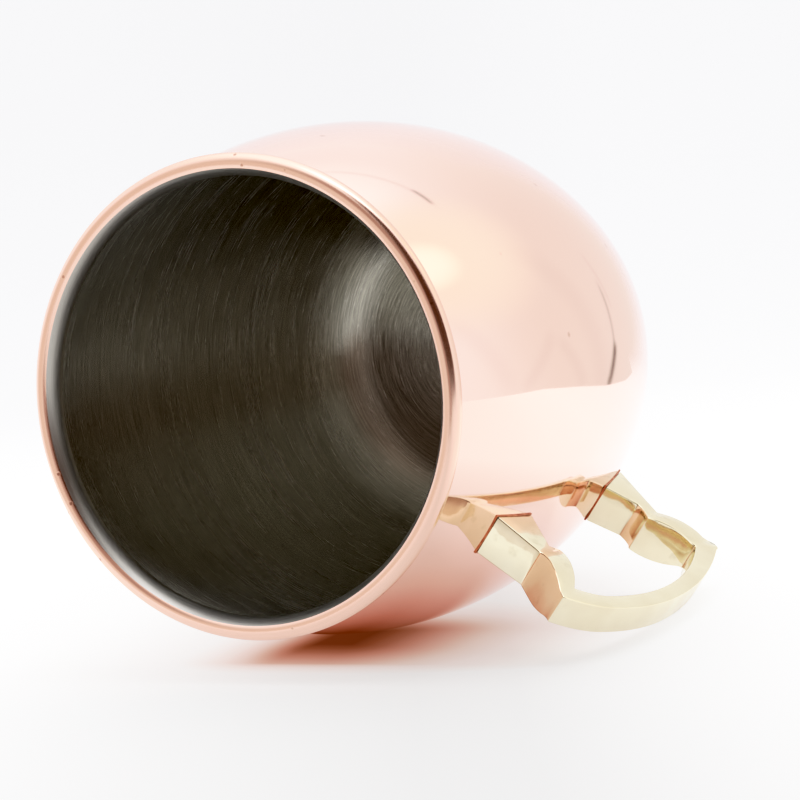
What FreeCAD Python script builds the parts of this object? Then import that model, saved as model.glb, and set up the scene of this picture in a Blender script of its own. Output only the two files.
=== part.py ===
"""Copper barrel mug with a brushed steel liner, a rolled rim and a cast brass handle.

The mug stands upright.  +Z runs from the base to the rim, the origin is the centre of the flat base,
and the handle reaches out along +X in the XZ plane.  All lengths are millimetres.

The wall is two sheets in contact, copper outside and steel inside.  Seen in section it is a flat base,
a round base corner, one long barrel arc and a short upright neck.  The rim is a hollow copper bead
round the outside of the neck.  The liner's lip flares outwards over the shell's top edge and closes
the bead.
"""
import FreeCAD, Part
import math
import os
import re
import Sketcher

DIMENSIONS = [
    # body of the mug
    ("overall_height", 94.0, "base to the top of the rim"),
    ("rim_radius", 40.0, "outermost radius of the rim bead"),
    ("bead_radius", 1.61, "radius of the bead's round section"),
    ("bead_wall", 0.5, "thickness of the sheet rolled into the bead"),
    ("lip_angle", 126.0, "angle round the bead where the liner's lip meets the copper, in degrees"),
    ("lip_end_angle", 190.0, "angle round the bead where the lip ends inside it, in degrees"),
    ("lip_face_radius", 6.0, "radius of the lip's flared face in section"),
    ("lip_low", 91.45, "height where the liner's inside wall ends and its lip begins"),
    ("belly_radius", 44.4, "largest outside radius of the barrel"),
    ("belly_height", 50.8, "height of the largest radius"),
    ("barrel_radius", 115.6, "radius of the barrel arc in section"),
    ("corner_radius", 14.0, "outside radius between the barrel and the base"),
    ("neck_radius", 37.25, "outside radius of the upright neck under the rim"),
    ("neck_hollow_radius", 3.0, "hollow between the barrel and the neck, outside"),
    ("shell_wall", 0.5, "copper sheet"),
    ("liner_wall", 0.5, "steel sheet"),
    ("shell_top", 91.6, "height of the shell's top edge, under the liner's lip"),
    # handle, in its own plane: reach is the distance from the mug's axis
    ("root_reach", 36.0, "inner end of the uncut feet, inside the barrel"),
    ("foot_top", 73.8, "upper foot, top face"),
    ("upper_foot_end_reach", 51.4, "upper foot, outer end of the top face"),
    ("upper_leg_reach", 54.6, "start of the upper leg's straight outer side"),
    ("upper_leg_height", 75.75, "height of the same point"),
    ("tip_reach", 60.7, "pointed thumb corner"),
    ("tip_height", 80.95, "height of the thumb corner"),
    ("crest_reach", 66.6, "grip, where the thumb curve meets the long curve"),
    ("crest_height", 69.8, "height of the same point"),
    ("grip_reach", 68.87, "outermost reach of the grip"),
    ("grip_height", 52.0, "height of the outermost point"),
    ("heel_reach", 62.65, "lower outer corner, end of the grip's long curve"),
    ("heel_height", 18.7, "height of the same point"),
    ("heel_under_reach", 60.9, "lower outer corner, start of the lower leg's outer side"),
    ("heel_under_height", 17.2, "height of the same point"),
    ("heel_rounding", 1.3, "rounding of that corner"),
    ("lower_foot_end_reach", 51.3, "lower foot, outer end of the bottom face"),
    ("lower_foot_end_height", 24.4, "height of the same point"),
    ("lower_root_height", 18.1, "height of the bottom face at root_reach"),
    ("lower_inner_root_height", 35.25, "height of the lower foot's inner face at root_reach"),
    ("lower_waist_reach", 48.4, "lower foot, narrow end of the inner face"),
    ("lower_waist_height", 27.4, "height of the same point"),
    ("lower_step_reach", 51.8, "top of the step on the lower leg"),
    ("lower_step_height", 29.95, "height of the same point"),
    ("lower_corner_reach", 60.3, "inner corner between the lower leg and the grip"),
    ("lower_corner_height", 23.8, "height of the same point"),
    ("inner_low_reach", 65.87, "innermost face of the grip at its outermost height"),
    ("inner_crest_reach", 63.4, "grip's inner face, where its two curves meet"),
    ("inner_crest_height", 69.0, "height of the same point"),
    ("upper_corner_reach", 59.9, "inner corner between the upper leg and the grip"),
    ("upper_corner_height", 74.9, "height of the same point"),
    ("upper_notch_reach", 52.4, "foot of the upper leg's inner side"),
    ("upper_notch_height", 68.1, "height of the same point"),
    ("upper_waist_reach", 50.8, "upper foot, narrow end of the inner face"),
    ("upper_waist_height", 69.1, "height of the same point"),
    ("upper_inner_root_height", 57.4, "height of the upper foot's inner face at root_reach"),
    ("upper_bend_radius", 10.2, "hollow between the upper foot and leg, outside"),
    ("upper_hollow_radius", 16.0, "hollow on the inner side of the upper leg"),
    ("lower_step_radius", 5.0, "hollow of the step on the lower leg"),
    ("thumb_radius", 25.0, "grip's outer curve under the thumb corner"),
    ("grip_upper_radius", 70.0, "grip's outer curve above its outermost point"),
    ("grip_lower_radius", 95.0, "grip's outer curve below its outermost point"),
    ("thumb_inner_radius", 17.0, "grip's inner curve near the upper corner"),
    ("inner_upper_radius", 67.0, "grip's inner curve above grip_height"),
    ("inner_lower_radius", 68.0, "grip's inner curve below grip_height"),
    ("foot_width", 7.3, "width of the feet where they meet the barrel"),
    ("foot_width_reach", 42.0, "reach where that width is measured"),
    ("foot_end_width", 6.7, "width of the feet at their outer ends"),
    ("foot_end_reach", 51.4, "reach of the feet's outer ends"),
    ("grip_width", 5.1, "width of the grip"),
    ("grip_width_reach", 59.6, "reach where the legs have narrowed to the grip's width"),
    ("leg_side_radius", 11.0, "hollow of the legs' sides as they narrow"),
    ("braze_thickness", 0.2, "braze between a foot and the barrel"),
    ("braze_margin", 0.2, "how far the braze shows at the sides of a foot"),
    ("upper_braze_low", 63.7, "bottom edge of the upper braze"),
    ("upper_braze_high", 74.0, "top edge of the upper braze"),
    ("lower_braze_low", 19.7, "bottom edge of the lower braze"),
    ("lower_braze_high", 30.7, "top edge of the lower braze"),
]

os.makedirs("parts", exist_ok=True)
doc = FreeCAD.newDocument("copper_mug")


def make_sheet():
    """Put every driving dimension into the spreadsheet under its alias."""
    sheet = doc.addObject("Spreadsheet::Sheet", "Dimensions")
    for row, (alias, value, meaning) in enumerate(DIMENSIONS, start=1):
        sheet.set(f"A{row}", meaning)
        sheet.set(f"B{row}", str(value))
        sheet.setAlias(f"B{row}", alias)
    doc.recompute()
    return sheet


sheet = make_sheet()

# Names for the derived lengths.  Each is a formula in the sheet's aliases.
BARREL_X = "(belly_radius - barrel_radius)"
BEAD_X = "(rim_radius - bead_radius)"
BEAD_Z = "(overall_height - bead_radius)"
BEAD_HOLLOW = "(bead_radius - bead_wall)"


def bound(formula):
    """The formula with every alias pointed at the sheet."""
    return re.sub(r"\b([a-z]+(?:_[a-z]+)+)\b", r"Dimensions.\1", formula)


def value(formula):
    """The formula's present value as a number."""
    return float(sheet.evalExpression(bound(formula)))


def barrel_reach(depth, height):
    """Radius, at a height, of the barrel arc that lies a depth below the outside surface."""
    return f"({BARREL_X} + sqrt((barrel_radius - {depth})^2 - ({height} - belly_height)^2))"


def origin_plane(body, role):
    """The body's own origin plane with this role."""
    return next(plane for plane in body.Origin.OriginFeatures if plane.Role == role)


def new_body(label):
    body = doc.addObject("PartDesign::Body", label)
    body.Label = label
    return body


def new_sketch(body, name, role="XZ_Plane"):
    """A sketch on one of the body's origin planes."""
    sketch = body.newObject("Sketcher::SketchObject", name)
    sketch.AttachmentSupport = [(origin_plane(body, role), "")]
    sketch.MapMode = "FlatFace"
    return sketch


def arc_between(start, end, radius, bulge):
    """The short arc between two points; bulge +1 curves to the right of travel, -1 to the left."""
    chord = end - start
    half = chord.Length / 2
    left = FreeCAD.Vector(-chord.y, chord.x, 0).normalize()
    centre = (start + end) / 2 + left * (bulge * math.sqrt(radius ** 2 - half ** 2))
    circle = Part.Circle(centre, FreeCAD.Vector(0, 0, 1), radius)
    first = math.atan2(start.y - centre.y, start.x - centre.x)
    last = math.atan2(end.y - centre.y, end.x - centre.x)
    if bulge < 0:
        first, last = last, first
    return Part.ArcOfCircle(circle, first, last)


def draw_outline(sketch, steps):
    """Draw a closed outline of lines and arcs with every size bound to the sheet.

    Each step is (x, y) or (x, y, radius, bulge), all but bulge being formulas.  It is a corner and,
    where a radius is given, the arc that leaves it for the next corner.
    """
    corners = [FreeCAD.Vector(value(step[0]), value(step[1]), 0) for step in steps]
    ends = []
    for index, step in enumerate(steps):
        start = corners[index]
        end = corners[(index + 1) % len(steps)]
        if len(step) == 2:
            edge = sketch.addGeometry(Part.LineSegment(start, end), False)
            ends.append((edge, 1, 2))
            continue
        edge = sketch.addGeometry(arc_between(start, end, value(step[2]), step[3]), False)
        ends.append((edge, 1, 2) if step[3] > 0 else (edge, 2, 1))
        bind_size(sketch, Sketcher.Constraint("Radius", edge, value(step[2])), f"radius_{index}", step[2])
    for index, step in enumerate(steps):
        edge, start, _ = ends[index]
        before, _, last = ends[index - 1]
        sketch.addConstraint(Sketcher.Constraint("Coincident", before, last, edge, start))
        for axis, size in (("DistanceX", step[0]), ("DistanceY", step[1])):
            constraint = Sketcher.Constraint(axis, -1, 1, edge, start, value(size))
            bind_size(sketch, constraint, f"{axis}_{index}", size)


def bind_size(sketch, constraint, name, formula):
    """Add a dimension to the sketch and drive it from the sheet."""
    index = sketch.addConstraint(constraint)
    sketch.renameConstraint(index, name)
    sketch.setExpression(f"Constraints.{name}", bound(formula))


def revolve(body, sketch, kind="PartDesign::Revolution"):
    """Turn a sketch all the way round the mug's axis, adding or cutting."""
    feature = body.newObject(kind, sketch.Name + "_turn")
    feature.Profile = sketch
    feature.ReferenceAxis = (sketch, ["V_Axis"])
    feature.Angle = 360.0
    body.Tip = feature
    return feature


def extrude(body, sketch, length, kind="PartDesign::Pad"):
    """Extend a sketch equally to both sides of its plane, adding or cutting."""
    feature = body.newObject(kind, sketch.Name + "_extent")
    feature.Profile = sketch
    feature.SideType = "Symmetric"
    feature.setExpression("Length", bound(length))
    body.Tip = feature
    return feature


def corner_geometry(depth):
    """Formulas for a base corner a depth inside the outside surface: flat radius and tangent point."""
    run = "sqrt((barrel_radius - corner_radius)^2 - (belly_height - corner_radius)^2)"
    flat = f"({BARREL_X} + {run})"
    reach = f"({BARREL_X} + (barrel_radius - {depth}) * {run} / (barrel_radius - corner_radius))"
    drop = "(belly_height - corner_radius) / (barrel_radius - corner_radius)"
    height = f"(belly_height - (barrel_radius - {depth}) * {drop})"
    return flat, reach, height


def neck_geometry(depth):
    """Formulas for the hollow under the neck: where it leaves the barrel arc and where it ends."""
    span = "(barrel_radius + neck_hollow_radius)"
    run = f"(neck_radius + neck_hollow_radius - {BARREL_X})"
    rise = f"sqrt({span}^2 - {run}^2)"
    reach = f"({BARREL_X} + (barrel_radius - {depth}) * {run} / {span})"
    height = f"(belly_height + (barrel_radius - {depth}) * {rise} / {span})"
    return reach, height, f"(belly_height + {rise})"


def cup_side(depth, top):
    """The outline of one face of the wall from the axis up to a height, going outwards then up."""
    flat, reach, height = corner_geometry(depth)
    hollow_reach, hollow_height, neck_height = neck_geometry(depth)
    return [
        ("0", depth),
        (flat, depth, f"corner_radius - {depth}", 1),
        (reach, height, f"barrel_radius - {depth}", 1),
        (hollow_reach, hollow_height, f"neck_hollow_radius + {depth}", -1),
        (f"neck_radius - {depth}", neck_height),
        (f"neck_radius - {depth}", top),
    ]


def back_along(side):
    """The same face followed the other way, from its top down to the axis."""
    steps = []
    for index in range(len(side) - 1, -1, -1):
        before = side[index - 1][2:] if index else ()
        arc = (before[0], -before[1]) if before else ()
        steps.append(side[index][:2] + arc)
    return steps


def bead_point(radius, angle):
    """A point on a circle about the middle of the bead's section."""
    return f"({BEAD_X} + ({radius}) * cos({angle}))", f"({BEAD_Z} + ({radius}) * sin({angle}))"


def make_copper_shell():
    """The spun copper outside of the mug: barrel wall, round corner and flat base."""
    body = new_body("copper_shell")
    sketch = new_sketch(body, "shell_section")
    outside = cup_side("0", "shell_top")
    inside = cup_side("shell_wall", "shell_top")
    draw_outline(sketch, outside + back_along(inside))
    revolve(body, sketch)
    return body


def make_steel_liner():
    """The steel cup inside the shell; its lip flares outwards over the shell's top edge."""
    body = new_body("steel_liner")
    sketch = new_sketch(body, "liner_section")
    outside = cup_side("shell_wall", "shell_top")
    inside = cup_side("(shell_wall + liner_wall)", "lip_low")
    lip = [
        ("neck_radius", "shell_top"),
        bead_point(BEAD_HOLLOW, "lip_end_angle") + (BEAD_HOLLOW, -1),
        bead_point(BEAD_HOLLOW, "lip_angle"),
        bead_point("bead_radius", "lip_angle") + ("lip_face_radius", 1),
    ]
    draw_outline(sketch, outside + lip + back_along(inside))
    revolve(body, sketch)
    return body


def make_rolled_rim():
    """The hollow copper bead round the mouth, from the liner's lip over and down to the neck."""
    body = new_body("rolled_rim")
    sketch = new_sketch(body, "bead_section")
    angles = ["lip_angle", "lip_angle / 3 - 20", "0 - 80"]
    over = [bead_point("bead_radius", angle) + ("bead_radius", -1) for angle in angles]
    foot = f"({BEAD_Z} - sqrt(bead_radius^2 - ({BEAD_X} - neck_radius)^2))"
    neck = [("neck_radius", foot), ("neck_radius", "shell_top")]
    turns = ["lip_end_angle"] + angles[:0:-1]
    under = [bead_point(BEAD_HOLLOW, angle) + (BEAD_HOLLOW, 1) for angle in turns]
    draw_outline(sketch, over + neck + under + [bead_point(BEAD_HOLLOW, "lip_angle")])
    revolve(body, sketch)
    return body


HANDLE_OUTLINE = [
    # along the top of the upper foot and leg to the thumb corner
    ("root_reach", "foot_top"),
    ("upper_foot_end_reach", "foot_top", "upper_bend_radius", 1),
    ("upper_leg_reach", "upper_leg_height"),
    # down the outside of the grip
    ("tip_reach", "tip_height", "thumb_radius", -1),
    ("crest_reach", "crest_height", "grip_upper_radius", -1),
    ("grip_reach", "grip_height", "grip_lower_radius", -1),
    # round the heel and back along the underside of the lower leg and foot
    ("heel_reach", "heel_height", "heel_rounding", -1),
    ("heel_under_reach", "heel_under_height"),
    ("lower_foot_end_reach", "lower_foot_end_height"),
    ("root_reach", "lower_root_height"),
    # out along the inner side of the lower foot and leg
    ("root_reach", "lower_inner_root_height"),
    ("lower_waist_reach", "lower_waist_height", "lower_step_radius", 1),
    ("lower_step_reach", "lower_step_height"),
    # up the inside of the grip
    ("lower_corner_reach", "lower_corner_height", "inner_lower_radius", 1),
    ("inner_low_reach", "grip_height", "inner_upper_radius", 1),
    ("inner_crest_reach", "inner_crest_height", "thumb_inner_radius", 1),
    # back along the inner side of the upper leg and foot
    ("upper_corner_reach", "upper_corner_height", "upper_hollow_radius", -1),
    ("upper_notch_reach", "upper_notch_height"),
    ("upper_waist_reach", "upper_waist_height"),
    ("root_reach", "upper_inner_root_height"),
]


def narrow_the_sides(body):
    """Cut both sides so that the wide feet taper and the legs narrow to the grip."""
    sketch = new_sketch(body, "side_relief", "XY_Plane")
    draw_outline(sketch, [
        ("foot_width_reach", "foot_width / 2"),
        ("foot_end_reach", "foot_end_width / 2", "leg_side_radius", -1),
        ("grip_width_reach", "grip_width / 2"),
        ("grip_reach + 2", "grip_width / 2"),
        ("grip_reach + 2", "foot_width"),
        ("foot_width_reach", "foot_width"),
    ])
    relief = extrude(body, sketch, "2 * overall_height", "PartDesign::Pocket")
    mirror = body.newObject("PartDesign::Mirrored", "other_side")
    mirror.Originals = [relief]
    mirror.MirrorPlane = (sketch, ["H_Axis"])
    body.Tip = mirror


def cut_inside_barrel(body, name, gap):
    """Cut away everything nearer the axis than the barrel's outside surface plus a gap."""
    sketch = new_sketch(body, name)
    low, high = "(belly_height - 40)", "(belly_height + 30)"
    depth = f"(0 - {gap})"
    draw_outline(sketch, [
        ("0", low),
        (barrel_reach(depth, low), low, f"barrel_radius + {gap}", 1),
        (barrel_reach(depth, high), high),
        ("0", high),
    ])
    revolve(body, sketch, "PartDesign::Groove")


def cut_outside_barrel(body, name, gap):
    """Cut away everything farther from the axis than the barrel's outside surface plus a gap."""
    sketch = new_sketch(body, name)
    low, high = "(belly_height - 40)", "(belly_height + 30)"
    depth = f"(0 - {gap})"
    draw_outline(sketch, [
        (barrel_reach(depth, low), low, f"barrel_radius + {gap}", 1),
        (barrel_reach(depth, high), high),
        ("belly_radius + 10", high),
        ("belly_radius + 10", low),
    ])
    revolve(body, sketch, "PartDesign::Groove")


def make_brass_handle():
    """The cast handle: two feet on the barrel, two flared legs and a bowed grip."""
    body = new_body("brass_handle")
    sketch = new_sketch(body, "handle_outline")
    draw_outline(sketch, HANDLE_OUTLINE)
    extrude(body, sketch, "foot_width")
    narrow_the_sides(body)
    cut_inside_barrel(body, "foot_seat", "braze_thickness")
    return body


def make_braze_joint(label, low, high):
    """A thin curved pad of braze that fills the gap between one foot and the barrel."""
    body = new_body(label)
    sketch = new_sketch(body, label + "_block")
    draw_outline(sketch, [
        ("root_reach", low),
        ("belly_radius + 5", low),
        ("belly_radius + 5", high),
        ("root_reach", high),
    ])
    extrude(body, sketch, "foot_width + 2 * braze_margin")
    cut_inside_barrel(body, label + "_seat", "0")
    cut_outside_barrel(body, label + "_face", "braze_thickness")
    return body


def check_document():
    """Stop if any object failed to recompute or any body is empty or invalid."""
    for item in doc.Objects:
        if {"Invalid", "Error"} & set(item.State):
            raise RuntimeError(f"{item.Label} did not recompute: {item.State}")


def export(body):
    """Write one sub-part as its own STEP file."""
    body.Placement = FreeCAD.Placement()
    if body.Shape.isNull() or not body.Shape.isValid() or len(body.Shape.Solids) != 1:
        raise RuntimeError(f"{body.Label} is not one valid solid")
    body.Shape.exportStep(os.path.join("parts", body.Label + ".step"))
    box = body.Shape.BoundBox
    print(f"{body.Label}: {body.Shape.Volume:.1f} mm3, z {box.ZMin:.2f} to {box.ZMax:.2f}")


bodies = [
    make_copper_shell(),
    make_steel_liner(),
    make_rolled_rim(),
    make_brass_handle(),
    make_braze_joint("upper_braze_joint", "upper_braze_low", "upper_braze_high"),
    make_braze_joint("lower_braze_joint", "lower_braze_low", "lower_braze_high"),
]
doc.recompute()
check_document()
for part_body in bodies:
    export(part_body)
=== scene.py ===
"""Looks of the copper barrel mug: fine meshes, procedural finishes, a pale studio sweep and the camera.

Positions are in the CAD frame, in metres: +Z from the base to the rim, the handle towards +X.
Profiles are written in millimetres, as in the part's drawing, and scaled once by MM.
"""
import math

import bmesh
import bpy
from mathutils import Matrix, Vector


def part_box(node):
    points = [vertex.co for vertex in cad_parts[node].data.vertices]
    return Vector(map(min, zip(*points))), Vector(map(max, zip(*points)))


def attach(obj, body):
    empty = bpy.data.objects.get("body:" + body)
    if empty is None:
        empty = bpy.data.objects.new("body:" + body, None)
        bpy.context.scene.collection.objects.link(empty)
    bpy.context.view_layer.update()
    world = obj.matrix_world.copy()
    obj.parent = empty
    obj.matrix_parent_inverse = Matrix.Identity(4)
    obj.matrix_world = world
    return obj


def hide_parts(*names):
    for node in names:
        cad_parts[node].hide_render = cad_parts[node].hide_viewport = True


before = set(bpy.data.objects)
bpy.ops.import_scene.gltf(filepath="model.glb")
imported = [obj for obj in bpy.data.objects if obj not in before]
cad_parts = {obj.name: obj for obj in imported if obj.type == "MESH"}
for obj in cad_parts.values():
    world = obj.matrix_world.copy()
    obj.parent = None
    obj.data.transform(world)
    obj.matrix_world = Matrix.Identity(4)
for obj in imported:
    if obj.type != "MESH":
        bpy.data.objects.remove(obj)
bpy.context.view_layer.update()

MM = 0.001
MICRON = 0.000001

# The cup's dimensions from the drawing, in millimetres, and angles round the bead's circle in degrees.
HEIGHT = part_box("rolled_rim")[1].z / MM
RIM_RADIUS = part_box("rolled_rim")[1].x / MM
BEAD = 1.61
BEAD_REACH = RIM_RADIUS - BEAD
BEAD_HEIGHT = HEIGHT - BEAD
BEAD_WALL = 0.5
BELLY_HEIGHT = 50.8
BARREL = 115.6  # radius of the barrel's arc; its centre is BARREL_REACH from the axis
BARREL_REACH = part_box("copper_shell")[1].x / MM - BARREL
CORNER = 14.0
SHEET = 0.5
SHELL_TOP = 91.6
NECK_HOLLOW = 3.0
NECK_REACH = 37.25
LIP_ANGLE = 126.0  # the seam between the lip and the bead
LIP_END_ANGLE = 190.0  # the end of the folded lip, inside the bead
LIP_FACE = 6.0
LIP_LOW = 91.45
LIP_FINISH_LOW = 90.5  # the liner is smoother above this height

# How finely the profiles are cut.
BASE_RINGS = (0, 0.2, 0.4, 0.6, 0.8, 0.95)  # as shares of the flat base's radius
CORNER_STEPS = 28
BARREL_STEPS = 96
NECK_STEPS = 10
BEAD_STEPS = 48
BEAD_INSIDE_STEPS = 24
FOLD_STEPS = 8
LIP_STEPS = 16
TURN_STEPS = 288
FORMED_SHARP = 40  # degrees between faces from which an edge shades sharp
CAST_SHARP = 32

# The handle, in millimetres. Its half width is given as (distance from the axis, half width).
BRAZE = 0.2
FOOT = (42.0, 3.65)
LEG_END = (51.4, 3.35)
GRIP_START = (59.6, 2.55)
FLARE = 11.0  # radius of the hollow between the leg's end and the grip
FLARE_STEPS = 32
EASED = 0.32
KEEN = 16  # degrees between faces from which an edge is eased
# Each leg's outer and inner line, from inside the barrel outwards. The leg starts at the braze on it.
UPPER_LEG = [((36, 73.8), (51.4, 73.8)), ((36, 57.4), (50.8, 69.1))]
LOWER_LEG = [((36, 18.1), (51.3, 24.4)), ((36, 35.25), (48.4, 27.4))]
LEG_STEPS = 5
# The outline from the upper foot to the lower one, in runs: the run's end, its radius (0 straight,
# + curving to the right of travel, - to the left) and its steps.
OUTER_RUNS = [
    ((50.6, 73.8), 0, LEG_STEPS),
    ((51.4, 73.8), 0, 1),
    ((54.6, 75.75), 10.2, 6),
    ((60.7, 80.95), 0, 8),
    ((66.6, 69.8), -25.0, 14),
    ((68.87, 52.0), -70.0, 16),
    ((62.65, 18.7), -95.0, 28),
    ((60.9, 17.2), -1.3, 6),
    ((51.3, 24.4), 0, 12),
    ((48.6, 23.29), 0, 6),
]
INNER_RUNS = [
    ((50.8, 69.1), 0, LEG_STEPS),
    ((52.4, 68.1), 0, 1),
    ((59.9, 74.9), 16.0, 14),
    ((63.4, 69.0), -17.0, 14),
    ((65.87, 52.0), -67.0, 16),
    ((60.3, 23.8), -68.0, 28),
    ((60.3, 23.8), 0, 6),  # waits at the corner while the outer line rounds its own
    ((51.8, 29.95), 0, 12),
    ((48.4, 27.4), -5.0, 6),
]


# ---------------------------------------------------------------- outlines

def arc(centre, radius, start, end, steps):
    """Points on a circle between two angles in degrees, both ends included."""
    turn = [math.radians(start + (end - start) * step / steps) for step in range(steps + 1)]
    return [(centre[0] + radius * math.cos(a), centre[1] + radius * math.sin(a)) for a in turn]


def arc_through(start, end, radius, bulge, steps):
    """The short arc between two points; bulge +1 curves to the right of travel, -1 to the left."""
    start, end = Vector(start), Vector(end)
    chord = end - start
    left = Vector((-chord.y, chord.x)).normalized()
    centre = (start + end) / 2 + left * (bulge * math.sqrt(radius ** 2 - (chord.length / 2) ** 2))
    first = math.degrees(math.atan2(start.y - centre.y, start.x - centre.x))
    turn = bulge * 2 * math.degrees(math.asin(chord.length / 2 / radius))
    return arc(centre, radius, first, first + turn, steps)


def straight(start, end, steps):
    """Evenly spaced points from one point to another, both ends included."""
    return [tuple(Vector(start).lerp(Vector(end), step / steps)) for step in range(steps + 1)]


def follow(start, runs):
    """Points along a line of straight and curved runs."""
    line = [start]
    for end, radius, steps in runs:
        if radius:
            run = arc_through(start, end, abs(radius), math.copysign(1, radius), steps)
        else:
            run = straight(start, end, steps)
        line += run[1:]
        start = end
    return line


def barrel_reach(depth, height):
    """Radius of the barrel arc a depth below the outside surface."""
    return BARREL_REACH + math.sqrt((BARREL - depth) ** 2 - (height - BELLY_HEIGHT) ** 2)


def cup_side(depth, top):
    """One face of the wall, from the axis over the base corner, up the barrel and the neck."""
    run = math.sqrt((BARREL - CORNER) ** 2 - (BELLY_HEIGHT - CORNER) ** 2)
    flat = BARREL_REACH + run
    tangent = math.degrees(math.atan2(CORNER - BELLY_HEIGHT, run))
    span = BARREL + NECK_HOLLOW
    high = math.degrees(math.acos((NECK_REACH + NECK_HOLLOW - BARREL_REACH) / span))
    hollow = (NECK_REACH + NECK_HOLLOW, BELLY_HEIGHT + span * math.sin(math.radians(high)))
    base = [(flat * share, depth) for share in BASE_RINGS]
    corner = arc((flat, CORNER), CORNER - depth, -90, tangent, CORNER_STEPS)
    barrel = arc((BARREL_REACH, BELLY_HEIGHT), BARREL - depth, tangent, high, BARREL_STEPS)
    neck = arc(hollow, NECK_HOLLOW + depth, high - 180, -180, NECK_STEPS)
    return base + corner + barrel[1:] + neck[1:] + [(NECK_REACH - depth, top)]


def bead(radius, start, end, steps):
    """Points round the middle of the bead."""
    return arc((BEAD_REACH, BEAD_HEIGHT), radius, start, end, steps)


# ---------------------------------------------------------------- meshes

def finish_mesh(name, bm, material, sharp):
    """Turn a bmesh into an object, smooth but for edges sharper than an angle in degrees."""
    bmesh.ops.recalc_face_normals(bm, faces=bm.faces)
    mesh = bpy.data.meshes.new(name)
    bm.to_mesh(mesh)
    bm.free()
    mesh.shade_smooth()
    mesh.set_sharp_from_angle(angle=math.radians(sharp))
    mesh.materials.append(material)
    piece = bpy.data.objects.new(name, mesh)
    bpy.context.scene.collection.objects.link(piece)
    return piece


def lathe(section):
    """Turn a closed section of (reach, height) points round the axis."""
    bm = bmesh.new()
    on_axis = 1e-6
    turn = [2 * math.pi * step / TURN_STEPS for step in range(TURN_STEPS)]
    rings = []
    for reach, height in section:
        if reach < on_axis:
            rings.append([bm.verts.new((0, 0, height * MM))])
            continue
        rings.append([bm.verts.new((reach * MM * math.cos(a), reach * MM * math.sin(a), height * MM))
                      for a in turn])
    for index, ring in enumerate(rings):
        after = rings[(index + 1) % len(rings)]
        if len(ring) == 1 and len(after) == 1:
            continue
        for step in range(TURN_STEPS):
            corners = [ring[step % len(ring)], ring[(step + 1) % len(ring)],
                       after[(step + 1) % len(after)], after[step % len(after)]]
            bm.faces.new(list(dict.fromkeys(corners)))
    return bm


def install(piece, slot, *nodes):
    """Fix a piece to the mug in place of the CAD nodes that it stands for."""
    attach(piece, "root")
    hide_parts(*nodes)


def make_shell(material):
    """The copper cup, from the middle of its base up the outside and back down the inside."""
    section = cup_side(0, SHELL_TOP) + cup_side(SHEET, SHELL_TOP)[::-1]
    piece = finish_mesh("shell_skin", lathe(section), material, FORMED_SHARP)
    install(piece, "polished_copper", "copper_shell")


def make_rim(material):
    """The hollow bead round the mouth, open on the inside where the lip's folded edge enters it."""
    foot = -math.degrees(math.acos((NECK_REACH - BEAD_REACH) / BEAD))
    section = (bead(BEAD, LIP_ANGLE, foot, BEAD_STEPS)
               + [(NECK_REACH, SHELL_TOP)]
               + bead(BEAD - BEAD_WALL, LIP_END_ANGLE - 360, LIP_ANGLE, BEAD_INSIDE_STEPS))
    piece = finish_mesh("rim_bead", lathe(section), material, FORMED_SHARP)
    install(piece, "satin_copper", "rolled_rim")


def make_liner(inside, lip):
    """The steel cup: up its back, over the shell's top into the bead, then down the lip and inside."""
    seam = bead(BEAD, LIP_ANGLE, LIP_ANGLE, 1)[0]
    section = (cup_side(SHEET, SHELL_TOP)
               + [(NECK_REACH, SHELL_TOP)]
               + bead(BEAD - BEAD_WALL, LIP_END_ANGLE, LIP_ANGLE, FOLD_STEPS)
               + arc_through(seam, (NECK_REACH - 2 * SHEET, LIP_LOW), LIP_FACE, 1, LIP_STEPS)
               + cup_side(2 * SHEET, LIP_LOW)[-2::-1])
    piece = finish_mesh("steel_lining", lathe(section), inside, FORMED_SHARP)
    piece.data.materials.append(lip)
    for face in piece.data.polygons:
        if face.center.z > LIP_FINISH_LOW * MM:
            face.material_index = 1
    install(piece, "brushed_steel", "steel_liner")


def on_barrel(start, end, gap):
    """Where the line from start to end crosses the barrel's outside surface plus a gap."""
    halvings = 40
    low, high = 0.0, 1.0
    for _ in range(halvings):
        share = (low + high) / 2
        x, z = Vector(start).lerp(Vector(end), share)
        if x < barrel_reach(-gap, z):
            low = share
        else:
            high = share
    return tuple(Vector(start).lerp(Vector(end), high))


def half_width(reach):
    """Half the handle's width at a distance from the axis: tapered legs, a hollow, an even grip."""
    if reach <= LEG_END[0]:
        return FOOT[1] + (reach - FOOT[0]) * (LEG_END[1] - FOOT[1]) / (LEG_END[0] - FOOT[0])
    if reach >= GRIP_START[0]:
        return GRIP_START[1]
    side = arc_through(LEG_END, GRIP_START, FLARE, -1, FLARE_STEPS)
    for before, after in zip(side, side[1:]):
        if after[0] >= reach:
            share = (reach - before[0]) / (after[0] - before[0])
            return before[1] + share * (after[1] - before[1])
    return GRIP_START[1]


def handle_stations():
    """Pairs of outline points across the handle, from the upper foot over the grip to the lower."""
    lines = []
    for runs, upper, lower in zip((OUTER_RUNS, INNER_RUNS), UPPER_LEG, LOWER_LEG):
        first, last = on_barrel(*upper, BRAZE), on_barrel(*lower, BRAZE)
        lines.append(follow(first, runs + [(last, 0, LEG_STEPS)]))
    return zip(*lines)


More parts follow.
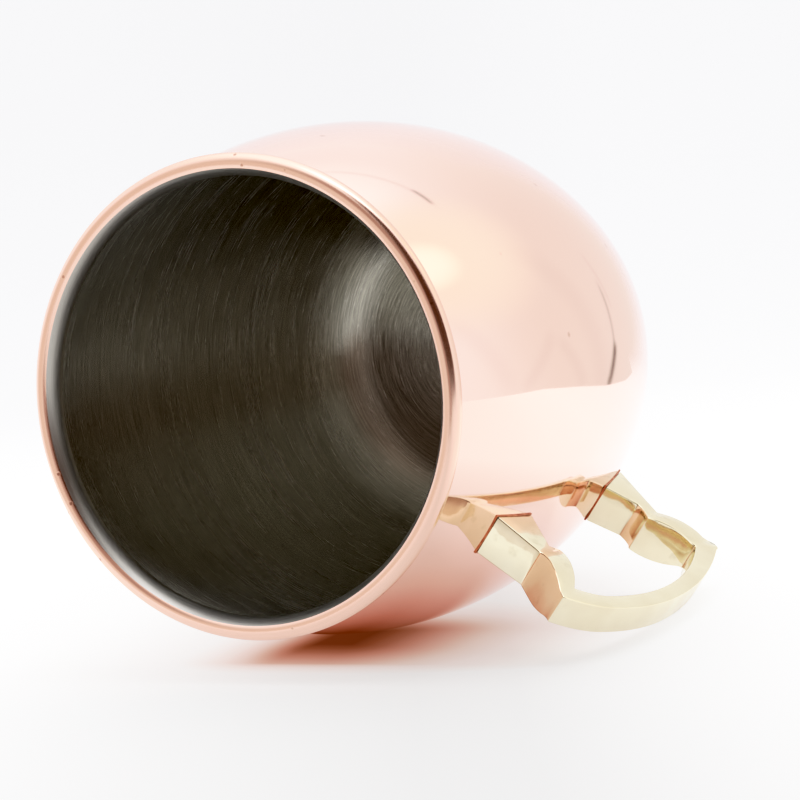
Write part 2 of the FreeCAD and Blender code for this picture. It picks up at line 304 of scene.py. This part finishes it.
def make_handle(material):
    """The cast handle, a ribbon of four-sided sections with softened edges."""
    bm = bmesh.new()
    rows = []
    known = {}
    for outer, inner in handle_stations():
        row = []
        for (x, z), side in ((outer, 1), (outer, -1), (inner, -1), (inner, 1)):
            key = (round(x, 4), round(z, 4), side)
            if key not in known:
                known[key] = bm.verts.new((x * MM, side * half_width(x) * MM, z * MM))
            row.append(known[key])
        rows.append(row)
    for before, after in zip(rows, rows[1:]):
        for corner in range(4):
            other = (corner + 1) % 4
            corners = [before[corner], before[other], after[other], after[corner]]
            unique = list(dict.fromkeys(corners))
            if len(unique) > 2:
                bm.faces.new(unique)
    ends = [bm.faces.new(rows[0][::-1]), bm.faces.new(rows[-1])]
    bmesh.ops.recalc_face_normals(bm, faces=bm.faces)
    seats = {edge for face in ends for edge in face.edges}
    keen = [edge for edge in bm.edges
            if edge not in seats and edge.calc_face_angle(0) > math.radians(KEEN)]
    bmesh.ops.bevel(bm, geom=keen, offset=EASED * MM, offset_type="OFFSET", segments=3, profile=0.5,
                    affect="EDGES", clamp_overlap=True)
    piece = finish_mesh("handle_casting", bm, material, CAST_SHARP)
    install(piece, "polished_brass", "brass_handle")


# ---------------------------------------------------------------- shader nodes

def add(tree, kind, inputs=None, **settings):
    """A new shader node; an input is a value or another node's output."""
    made = tree.nodes.new("ShaderNode" + kind)
    for name, value in settings.items():
        setattr(made, name, value)
    for name, value in (inputs or {}).items():
        if isinstance(value, bpy.types.NodeSocket):
            tree.links.new(value, made.inputs[name])
        else:
            made.inputs[name].default_value = value
    return made


def math_node(tree, operation, first, second=0.0):
    return add(tree, "Math", {0: first, 1: second}, operation=operation).outputs[0]


def place_of(tree):
    """The shaded point, in metres in the CAD frame."""
    return add(tree, "TexCoord").outputs["Object"]


def distance_along(tree, vector, axis):
    """How far a vector goes along an axis."""
    return add(tree, "VectorMath", {0: vector, 1: axis}, operation="DOT_PRODUCT").outputs["Value"]


def spread(tree, value, low, high, start=0.3, end=0.7):
    """Map start..end, by default most of a noise's range, to low..high, held level past both ends."""
    return add(tree, "MapRange", {"Value": value, "From Min": start, "From Max": end,
                                  "To Min": low, "To Max": high}).outputs["Result"]


def blend_colours(tree, share, first, second):
    """Mix two colours, each three numbers or another node's output."""
    mix = add(tree, "Mix", data_type="RGBA", factor_mode="UNIFORM")
    for socket, value in ((mix.inputs[0], share), (mix.inputs[6], first), (mix.inputs[7], second)):
        if isinstance(value, bpy.types.NodeSocket):
            tree.links.new(value, socket)
        elif isinstance(value, tuple):
            socket.default_value = (*value, 1)
        else:
            socket.default_value = value
    return mix.outputs[2]


def scaled_noise(tree, scale, detail=3.0):
    """Even noise; scale is the number of features in a metre."""
    texture = add(tree, "TexNoise", {"Vector": place_of(tree), "Scale": scale, "Detail": detail})
    return texture.outputs["Fac"]


def turned_noise(tree, along, across, detail=3.0):
    """Noise drawn out round the mug's axis, as a lathe leaves it.

    along is how many features fit in a radian of turn, across how many in a metre of the section.
    """
    place = add(tree, "SeparateXYZ", {0: place_of(tree)})
    flat = add(tree, "CombineXYZ", {0: place.outputs[0], 1: place.outputs[1]}).outputs[0]
    reach = add(tree, "VectorMath", {0: flat}, operation="LENGTH").outputs["Value"]
    turn = add(tree, "VectorMath", {0: flat}, operation="NORMALIZE").outputs["Vector"]
    turn = add(tree, "VectorMath", {0: turn, "Scale": along}, operation="SCALE").outputs["Vector"]
    turn = add(tree, "SeparateXYZ", {0: turn})
    sideways = math_node(tree, "MULTIPLY", reach, across)
    vector = add(tree, "CombineXYZ", {
        0: math_node(tree, "ADD", turn.outputs[0], sideways),
        1: turn.outputs[1],
        2: math_node(tree, "MULTIPLY", place.outputs[2], across)}).outputs[0]
    texture = add(tree, "TexNoise", {"Vector": vector, "Scale": 1.0, "Detail": detail,
                                     "Roughness": 0.55})
    return texture.outputs["Fac"]


def specks(tree, scale, size, seed):
    """Small scattered marks, 1 inside a mark and 0 elsewhere, in a fifth of the cells of a grid.

    scale is the number of cells in a metre, size a mark's radius as a share of a cell.
    """
    left_out = 0.8
    place = add(tree, "Mapping", {"Vector": place_of(tree),
                                  "Location": (seed, seed * 0.7, seed * 1.3)}).outputs[0]
    cells = add(tree, "TexVoronoi", {"Vector": place, "Scale": scale})
    near = spread(tree, cells.outputs["Distance"], 1.0, 0.0, size * 0.5, size)
    draw = add(tree, "SeparateColor", {0: cells.outputs["Color"]}).outputs[0]
    return math_node(tree, "MULTIPLY", near, math_node(tree, "GREATER_THAN", draw, left_out))


# ---------------------------------------------------------------- finishes

def metal(name, anisotropic=0.0):
    """A metal shader with nothing linked yet; an anisotropic one is brushed round the axis."""
    quarter_turn = 0.25
    material = bpy.data.materials.new(name)
    material.use_nodes = True
    tree = material.node_tree
    shader = tree.nodes["Principled BSDF"]
    shader.inputs["Metallic"].default_value = 1.0
    if anisotropic:
        shader.inputs["Anisotropic"].default_value = anisotropic
        shader.inputs["Anisotropic Rotation"].default_value = quarter_turn
        tangent = add(tree, "Tangent", direction_type="RADIAL", axis="Z")
        tree.links.new(tangent.outputs[0], shader.inputs["Tangent"])
    return material, tree, shader


def dress(tree, shader, colour, roughness, *bumps):
    """Link a colour, a roughness and a chain of (height, distance in metres) bumps."""
    tree.links.new(colour, shader.inputs["Base Color"])
    tree.links.new(roughness, shader.inputs["Roughness"])
    normal = None
    for height, distance in bumps:
        bump = add(tree, "Bump", {"Height": height, "Distance": distance, "Strength": 1.0})
        if normal is not None:
            tree.links.new(normal, bump.inputs["Normal"])
        normal = bump.outputs[0]
    tree.links.new(normal, shader.inputs["Normal"])


def polished_copper():
    """Mirror-bright copper: a faint warm drift of tone, buffing marks, slow waves and a few specks."""
    pale, warm, speck = (0.965, 0.664, 0.578), (0.945, 0.631, 0.540), (0.45, 0.24, 0.17)
    edge_tint = (1.0, 0.96, 0.97, 1)
    speck_share, most_haze = 0.5, 0.03
    material, tree, shader = metal("polished_copper")
    drift = spread(tree, scaled_noise(tree, scale=22, detail=2), 0.0, 1.0)
    buffing = turned_noise(tree, along=2.5, across=900, detail=4)
    marks = specks(tree, scale=160, size=0.11, seed=3.1)
    waves = scaled_noise(tree, scale=16, detail=1)
    colour = blend_colours(tree, drift, pale, warm)
    colour = blend_colours(tree, math_node(tree, "MULTIPLY", marks, speck_share), colour, speck)
    haze = spread(tree, scaled_noise(tree, scale=60, detail=4), 0.0, 1.0, 0.35, 0.75)
    haze = math_node(tree, "MULTIPLY", haze, most_haze)
    roughness = math_node(tree, "ADD", haze, spread(tree, buffing, 0.025, 0.055))
    shader.inputs["Specular Tint"].default_value = edge_tint
    dress(tree, shader, colour, roughness,
          (waves, 220 * MICRON), (buffing, 0.6 * MICRON), (marks, -10 * MICRON))
    return material


def satin_copper():
    """The rim: copper left with fine turning lines, pits and small nicks."""
    pale, deep, pit = (0.940, 0.610, 0.495), (0.905, 0.560, 0.440), (0.35, 0.16, 0.10)
    pit_share = 0.7
    material, tree, shader = metal("satin_copper")
    lines = turned_noise(tree, along=5, across=5000, detail=3)
    bands = turned_noise(tree, along=1.2, across=900, detail=2)
    pits = specks(tree, scale=420, size=0.16, seed=7.7)
    colour = blend_colours(tree, spread(tree, bands, 0, 1), pale, deep)
    colour = blend_colours(tree, math_node(tree, "MULTIPLY", pits, pit_share), colour, pit)
    roughness = math_node(tree, "ADD", spread(tree, lines, 0.14, 0.22), spread(tree, bands, 0.0, 0.05))
    dress(tree, shader, colour, roughness, (lines, 6 * MICRON), (pits, -30 * MICRON))
    return material


def brushed_steel():
    """The inside: steel brushed round the axis, with fine scratches and broad tool bands."""
    dark, light = (0.285, 0.272, 0.230), (0.575, 0.552, 0.482)
    tool_mark, bright_scratch = (0.32, 0.30, 0.255), (0.70, 0.675, 0.62)
    material, tree, shader = metal("brushed_steel", anisotropic=1.0)
    scratches = turned_noise(tree, along=5, across=4200, detail=5)
    bands = turned_noise(tree, along=0.8, across=260, detail=3)
    stray = turned_noise(tree, along=14, across=1600, detail=2)
    colour = blend_colours(tree, spread(tree, scratches, 0, 1, 0.35, 0.7), dark, light)
    colour = blend_colours(tree, spread(tree, bands, 0.0, 0.4, 0.4, 0.8), colour, tool_mark)
    colour = blend_colours(tree, spread(tree, stray, 0.0, 0.6, 0.62, 0.75), colour, bright_scratch)
    roughness = math_node(tree, "ADD", spread(tree, scratches, 0.17, 0.25),
                          spread(tree, bands, 0.0, 0.06))
    dress(tree, shader, colour, roughness, (scratches, 22 * MICRON), (stray, 10 * MICRON))
    return material


def lip_steel():
    """The liner's flared lip: smoother steel with a soft sheen."""
    dark, light = (0.44, 0.425, 0.39), (0.53, 0.512, 0.475)
    material, tree, shader = metal("lip_steel")
    lines = turned_noise(tree, along=4, across=5000, detail=3)
    colour = blend_colours(tree, spread(tree, lines, 0, 1), dark, light)
    dress(tree, shader, colour, spread(tree, lines, 0.32, 0.40), (lines, 10 * MICRON))
    return material


def polished_brass():
    """The handle: pale cast brass, polished, with a satin grip and cloudy casting marks."""
    pale, warm, tarnished = (0.895, 0.815, 0.600), (0.80, 0.700, 0.480), (0.55, 0.45, 0.25)
    satin = 0.10
    grip_reach, foot_reach = (0.058, 0.063), (0.041, 0.052)
    foot_top = 0.0735
    material, tree, shader = metal("polished_brass")
    cloud = scaled_noise(tree, scale=90, detail=4)
    stain = scaled_noise(tree, scale=260, detail=3)
    dimples = scaled_noise(tree, scale=120, detail=2)
    grain = scaled_noise(tree, scale=1400, detail=3)
    place = add(tree, "SeparateXYZ", {0: place_of(tree)})
    grip = spread(tree, place.outputs[0], 0.0, 1.0, *grip_reach)
    colour = blend_colours(tree, spread(tree, cloud, 0, 1), pale, warm)
    tarnish = math_node(tree, "MULTIPLY", spread(tree, stain, 0.0, 0.5, 0.58, 0.74),
                        math_node(tree, "SUBTRACT", 1.0, grip))
    colour = blend_colours(tree, tarnish, colour, tarnished)
    polish = spread(tree, cloud, 0.045, 0.11)
    roughness = math_node(tree, "ADD", polish, math_node(tree, "MULTIPLY", grip, satin))
    # Polishing has let the upper foot's top fall away a little towards its outer end.
    fall = math_node(tree, "MULTIPLY", spread(tree, place.outputs[0], 1.0, 0.0, *foot_reach),
                     math_node(tree, "GREATER_THAN", place.outputs[2], foot_top))
    dress(tree, shader, colour, roughness,
          (fall, 900 * MICRON), (dimples, 220 * MICRON), (grain, 1.5 * MICRON))
    return material


def braze_metal():
    """Dark red-brown braze, slightly lumpy."""
    red, brown = (0.56, 0.21, 0.10), (0.36, 0.105, 0.05)
    material, tree, shader = metal("braze")
    lumps = scaled_noise(tree, scale=900, detail=3)
    colour = blend_colours(tree, spread(tree, lumps, 0, 1), red, brown)
    dress(tree, shader, colour, spread(tree, lumps, 0.3, 0.5), (lumps, 40 * MICRON))
    return material


# ---------------------------------------------------------------- studio

CAMERA_PLACE = Vector((0.18079, 0.17800, 0.51184))
CAMERA_UP = Vector((-0.5757, 0.8119, -0.0972))
VIEW = Vector((-0.3294, -0.3391, -0.8812))
SENSOR, LENS = 36.0, 135.0  # millimetres
NEAREST = 0.01

# The mug lies on its side, so the studio's floor is a tilted plane that touches the barrel.
FLOOR_DOWN = Vector((0.606, -0.793, -0.060)).normalized()
FLOOR_DEPTH = 41.6 * MM
STUDIO_UP = -FLOOR_DOWN
STUDIO_AHEAD = (VIEW - STUDIO_UP * VIEW.dot(STUDIO_UP)).normalized()
STUDIO_ACROSS = STUDIO_AHEAD.cross(STUDIO_UP)

PAPER = 0.30  # the share of the tent's light that it scatters, on top of the light painted on it
PAPER_BACK = (0.975, 0.985, 1.01)  # its tone up the back
PAPER_HALF = 0.235
FLAT_AHEAD, BEND, RISE = 0.26, 0.14, 0.45
# Distance ahead, and how far the flat paper reaches to the right, where its edge is cut away.
PAPER_EDGE = [(-0.42, PAPER_HALF), (-0.1, PAPER_HALF), (0.0, PAPER_HALF), (0.045, 0.20),
              (0.08, 0.167), (0.13, 0.147), (0.17, 0.15), (FLAT_AHEAD, PAPER_HALF)]

# Painted shadow on the paper out from the patch on which the mug rests: dark red, for painted red
# light from the copper in the shade, then white.
CONTACT_SIDE = Vector((0.793, 0.606, 0.0))  # across the line on which the mug rests
PAINTED_SHADOW_REACH = 0.05
PAINTED_SHADOW_TONES = [
    (0.00, (0.20, 0.045, 0.018)),
    (0.07, (0.29, 0.080, 0.035)),
    (0.14, (0.40, 0.140, 0.080)),
    (0.22, (0.56, 0.25, 0.175)),
    (0.34, (0.74, 0.45, 0.37)),
    (0.46, (0.87, 0.67, 0.60)),
    (0.60, (0.95, 0.83, 0.79)),
    (0.80, (0.99, 0.94, 0.92)),
    (1.00, (1.0, 1.0, 1.0)),
]

# The tent: its cloth, and broad soft regions of it as azimuth, elevation, inner and outer radius in
# degrees, and light.
CLOTH = (1.38, 1.38, 1.40)
TENT = [
    (0, 90, 20, 50, (1.9, 1.9, 1.95)),
    (150, 76, 6, 20, (3.6, 3.6, 3.7)),
    (46, 4, 15, 46, (1.15, 1.13, 1.07)),
    (-112, 0, 15, 45, (0.98, 0.87, 0.80)),
    (78, 37, 0, 30, (1.48, 1.40, 1.24)),
    (82, 37, 0, 11, (1.95, 1.88, 1.60)),
    (-150, 26, 8, 30, (0.45, 0.34, 0.29)),
    (-163, -2, 4, 22, (0.45, 0.34, 0.29)),
]
# The tent's dark open front, cut off level at the front edge of the paper.
FRONT = [(146, 20, 22, 33), (168, 20, 22, 33), (163, 48, 14, 26)]
FRONT_LIGHT = (0.085, 0.035, 0.018)
FRONT_EDGE = (-5, -2)
# Folds in the cloth: middle azimuth and elevation, lean from upright, half length and half width in
# degrees, and the share of the light that the fold takes away.
FOLDS = [
    (38.5, 6, 0, 6, 0.8, 0.10),
    (41.0, 0, -8, 7, 1.0, 0.30),
    (43.0, -8, -28, 5.0, 1.8, 0.75),
    (32, 46.6, -74, 17, 0.8, 0.13),
    (45.0, 43.0, -68, 4.0, 0.7, 0.45),
    (60, -5, 35, 9, 3.0, 0.06),
    (71, -3, -40, 10, 3.0, 0.06),
    (85, 4, 20, 18, 4.5, 0.05),
    (52, 3, 15, 26, 6.0, 0.05),
]

# The exposure: the light shown as white and as black, and how bright the light between is shown.
WHITE_LIGHT = 1.5
BLACK_LIGHT = 0.011
SHOWN = [(0.25, 0.25), (0.5, 0.5), (0.74, 0.68), (0.9, 0.79), (1.1, 0.90), (1.3, 0.97)]


def make_camera():
    data = bpy.data.cameras.new("camera")
    data.sensor_width = SENSOR
    data.lens = LENS
    data.clip_start = NEAREST
    camera = bpy.data.objects.new("camera", data)
    back = -VIEW.normalized()
    right = CAMERA_UP.cross(back).normalized()
    up = back.cross(right)
    rotation = Matrix((right, up, back)).transposed().to_4x4()
    camera.matrix_world = Matrix.Translation(CAMERA_PLACE) @ rotation
    bpy.context.scene.collection.objects.link(camera)
    bpy.context.scene.camera = camera


def studio_direction(azimuth, elevation):
    """A direction in the studio: azimuth 0 straight away from the camera, 90 to its right."""
    azimuth, elevation = math.radians(azimuth), math.radians(elevation)
    level = STUDIO_AHEAD * math.cos(azimuth) + STUDIO_ACROSS * math.sin(azimuth)
    return level * math.cos(elevation) + STUDIO_UP * math.sin(elevation)


def paper_light(tree, ahead, across):
    """How brightly the paper is lit: more to the back, and more to the sides beside the mug.

    In each spread, the first two numbers are light and the last two are metres.
    """
    right = math_node(tree, "MULTIPLY", spread(tree, across, 0.0, 0.55, -0.004, 0.055),
                      spread(tree, ahead, 1.0, 0.1, 0.0, 0.25))
    left = math_node(tree, "MULTIPLY", spread(tree, across, 0.42, 0.0, -0.11, -0.02),
                     spread(tree, ahead, 1.0, 0.1, 0.05, 0.30))
    sides = math_node(tree, "MULTIPLY", math_node(tree, "ADD", left, right),
                      spread(tree, ahead, 0.55, 1.0, -0.20, -0.04))
    return math_node(tree, "ADD", spread(tree, ahead, 0.665, 0.92, -0.06, 0.13), sides)


def painted_contact_shadow(tree, place):
    """Painted shadow on the paper, dark red with painted red light from the copper, by the distance
    from the patch on which the mug rests.

    Each limit of the patch has its own pace, because the painted shadow fades sooner past some
    than others.
    """
    side = distance_along(tree, place, CONTACT_SIDE)
    lengthwise = add(tree, "SeparateXYZ", {0: place}).outputs[2]

    def furthest(value, *limits):
        """How far a value is past the limit that it is furthest past, or 0 if it is past none."""
        most = 0.0
        for start, pace in limits:
            past = math_node(tree, "MULTIPLY", math_node(tree, "SUBTRACT", value, start), pace)
            most = math_node(tree, "MAXIMUM", past, most)
        return most

    aside = furthest(side, (0.001, 1.0), (-0.006, -2.4))
    past_end = furthest(lengthwise, (0.064, 1.15), (0.0745, 4.5), (0.054, -2.0))
    off = add(tree, "CombineXYZ", {0: aside, 1: past_end}).outputs[0]
    off = add(tree, "VectorMath", {0: off}, operation="LENGTH").outputs["Value"]
    tone = add(tree, "ValToRGB", {"Fac": spread(tree, off, 0.0, 1.0, 0.0, PAINTED_SHADOW_REACH)})
    ramp = tone.color_ramp
    ramp.elements[0].color = (*PAINTED_SHADOW_TONES[0][1], 1)
    for position, colour in PAINTED_SHADOW_TONES[1:-1]:
        ramp.elements.new(position).color = (*colour, 1)
    ramp.elements[-1].color = (*PAINTED_SHADOW_TONES[-1][1], 1)
    return tone.outputs["Color"]


def studio_paper():
    """White paper seen from above; from below it is clear, so that views from there see the mug.

    The paper's painted light is brightest at the back and sides, and the paper fades out up the back
    and at its far right edge. Close to where the mug rests, a shadow is painted on it, dark red with
    painted red light from the copper.
    """
    fade_low, fade_high = 0.16 - FLOOR_DEPTH, 0.40 - FLOOR_DEPTH
    material = bpy.data.materials.new("studio_paper")
    material.use_nodes = True
    tree = material.node_tree
    tree.nodes.clear()
    place = place_of(tree)
    ahead, across, height = (distance_along(tree, place, axis)
                             for axis in (STUDIO_AHEAD, STUDIO_ACROSS, STUDIO_UP))
    # tone carries the painted shadow by the mug into both the paper's painted light and its colour.
    tone = blend_colours(tree, spread(tree, ahead, 0.0, 1.0, 0.12, 0.35),
                         painted_contact_shadow(tree, place), PAPER_BACK)
    own = add(tree, "Emission", {"Color": tone, "Strength": paper_light(tree, ahead, across)})
    sheet = add(tree, "BsdfDiffuse", {"Color": blend_colours(tree, PAPER, (0.0, 0.0, 0.0), tone)})
    lit = add(tree, "AddShader", {0: sheet.outputs[0], 1: own.outputs[0]})
    clear = add(tree, "BsdfTransparent")
    top = spread(tree, height, 0.0, 1.0, fade_low, fade_high)
    edge = math_node(tree, "MULTIPLY", spread(tree, across, 0.0, 1.0, 0.13, 0.225),
                     spread(tree, ahead, 0.0, 1.0, 0.10, 0.20))
    behind = add(tree, "NewGeometry").outputs["Backfacing"]
    unseen = math_node(tree, "MAXIMUM", behind, math_node(tree, "MAXIMUM", top, edge))
    mix = add(tree, "MixShader", {0: unseen, 1: lit.outputs[0], 2: clear.outputs[0]})
    add(tree, "OutputMaterial", {"Surface": mix.outputs[0]})
    return material


def make_floor():
    """A pale sweep: flat under the mug, curving up behind it."""
    line = [(ahead, 0.0, reach) for ahead, reach in PAPER_EDGE]
    line += [(FLAT_AHEAD + BEND * math.sin(math.radians(a)), BEND - BEND * math.cos(math.radians(a)),
              PAPER_HALF) for a in range(5, 91, 5)]
    line.append((FLAT_AHEAD + BEND, RISE, PAPER_HALF))
    bm = bmesh.new()
    rows = []
    for ahead, height, reach in line:
        base = FLOOR_DOWN * FLOOR_DEPTH + STUDIO_AHEAD * ahead + STUDIO_UP * height
        rows.append([bm.verts.new(base - STUDIO_ACROSS * PAPER_HALF),
                     bm.verts.new(base + STUDIO_ACROSS * reach)])
    for before, after in zip(rows, rows[1:]):
        bm.faces.new((before[0], before[1], after[1], after[0]))
    mesh = bpy.data.meshes.new("studio_sweep")
    bm.to_mesh(mesh)
    bm.free()
    mesh.shade_smooth()
    floor = bpy.data.objects.new("studio_sweep", mesh)
    bpy.context.scene.collection.objects.link(floor)
    mesh.materials.append(studio_paper())
    if mesh.polygons[0].normal.dot(STUDIO_UP) < 0:
        mesh.flip_normals()


def make_world():
    """The light tent: pale cloth all round, brightest above, with a dark open front."""
    world = bpy.data.worlds.new("light_tent")
    world.use_nodes = True
    tree = world.node_tree
    direction = add(tree, "TexCoord").outputs["Generated"]

    def soft(value, start, end):
        return add(tree, "MapRange", {"Value": value, "From Min": start, "From Max": end},
                   interpolation_type="SMOOTHSTEP").outputs["Result"]

    def within(middle, inner, outer):
        """1 nearer to a direction than the inner angle, 0 beyond the outer one, in degrees."""
        return soft(distance_along(tree, direction, middle),
                    math.cos(math.radians(outer)), math.cos(math.radians(inner)))

    level = CLOTH
    for azimuth, elevation, inner, outer, light in TENT:
        share = within(studio_direction(azimuth, elevation), inner, outer)
        level = blend_colours(tree, share, level, light)
    above = soft(distance_along(tree, direction, STUDIO_UP),
                 *(math.sin(math.radians(edge)) for edge in FRONT_EDGE))
    for azimuth, elevation, inner, outer in FRONT:
        share = math_node(tree, "MULTIPLY",
                          within(studio_direction(azimuth, elevation), inner, outer), above)
        level = blend_colours(tree, share, level, FRONT_LIGHT)
    for azimuth, elevation, lean, length, width, depth in FOLDS:
        middle = studio_direction(azimuth, elevation)
        upright = studio_direction(azimuth, elevation + 90)
        sideways = middle.cross(upright)
        lean = math.radians(lean)
        across = sideways * math.cos(lean) - upright * math.sin(lean)
        off = math_node(tree, "ABSOLUTE", distance_along(tree, direction, across))
        thin = soft(off, math.sin(math.radians(width)), 0.0)
        near = within(middle, length / 2, length)
        shade = math_node(tree, "MULTIPLY", math_node(tree, "MULTIPLY", thin, near), depth)
        level = blend_colours(tree, shade, level, (0.0, 0.0, 0.0))
    tree.links.new(level, tree.nodes["Background"].inputs["Color"])
    bpy.context.scene.world = world


def set_exposure():
    """A photograph's exposure: a little light counts as black, and highlights roll off into white."""
    view = bpy.context.scene.view_settings
    view.view_transform = "Standard"
    view.use_curve_mapping = True
    view.curve_mapping.white_level = (WHITE_LIGHT,) * 3
    view.curve_mapping.black_level = (BLACK_LIGHT,) * 3
    tone = view.curve_mapping.curves[3]
    for light, shown in SHOWN:
        tone.points.new(light / WHITE_LIGHT, shown)
    view.curve_mapping.update()


make_shell(polished_copper())
make_rim(satin_copper())
make_liner(brushed_steel(), lip_steel())
make_handle(polished_brass())
braze = braze_metal()
for node in ("upper_braze_joint", "lower_braze_joint"):
    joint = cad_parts[node]
    joint.data.materials.clear()
    joint.data.materials.append(braze)

make_camera()
make_floor()
make_world()
set_exposure()
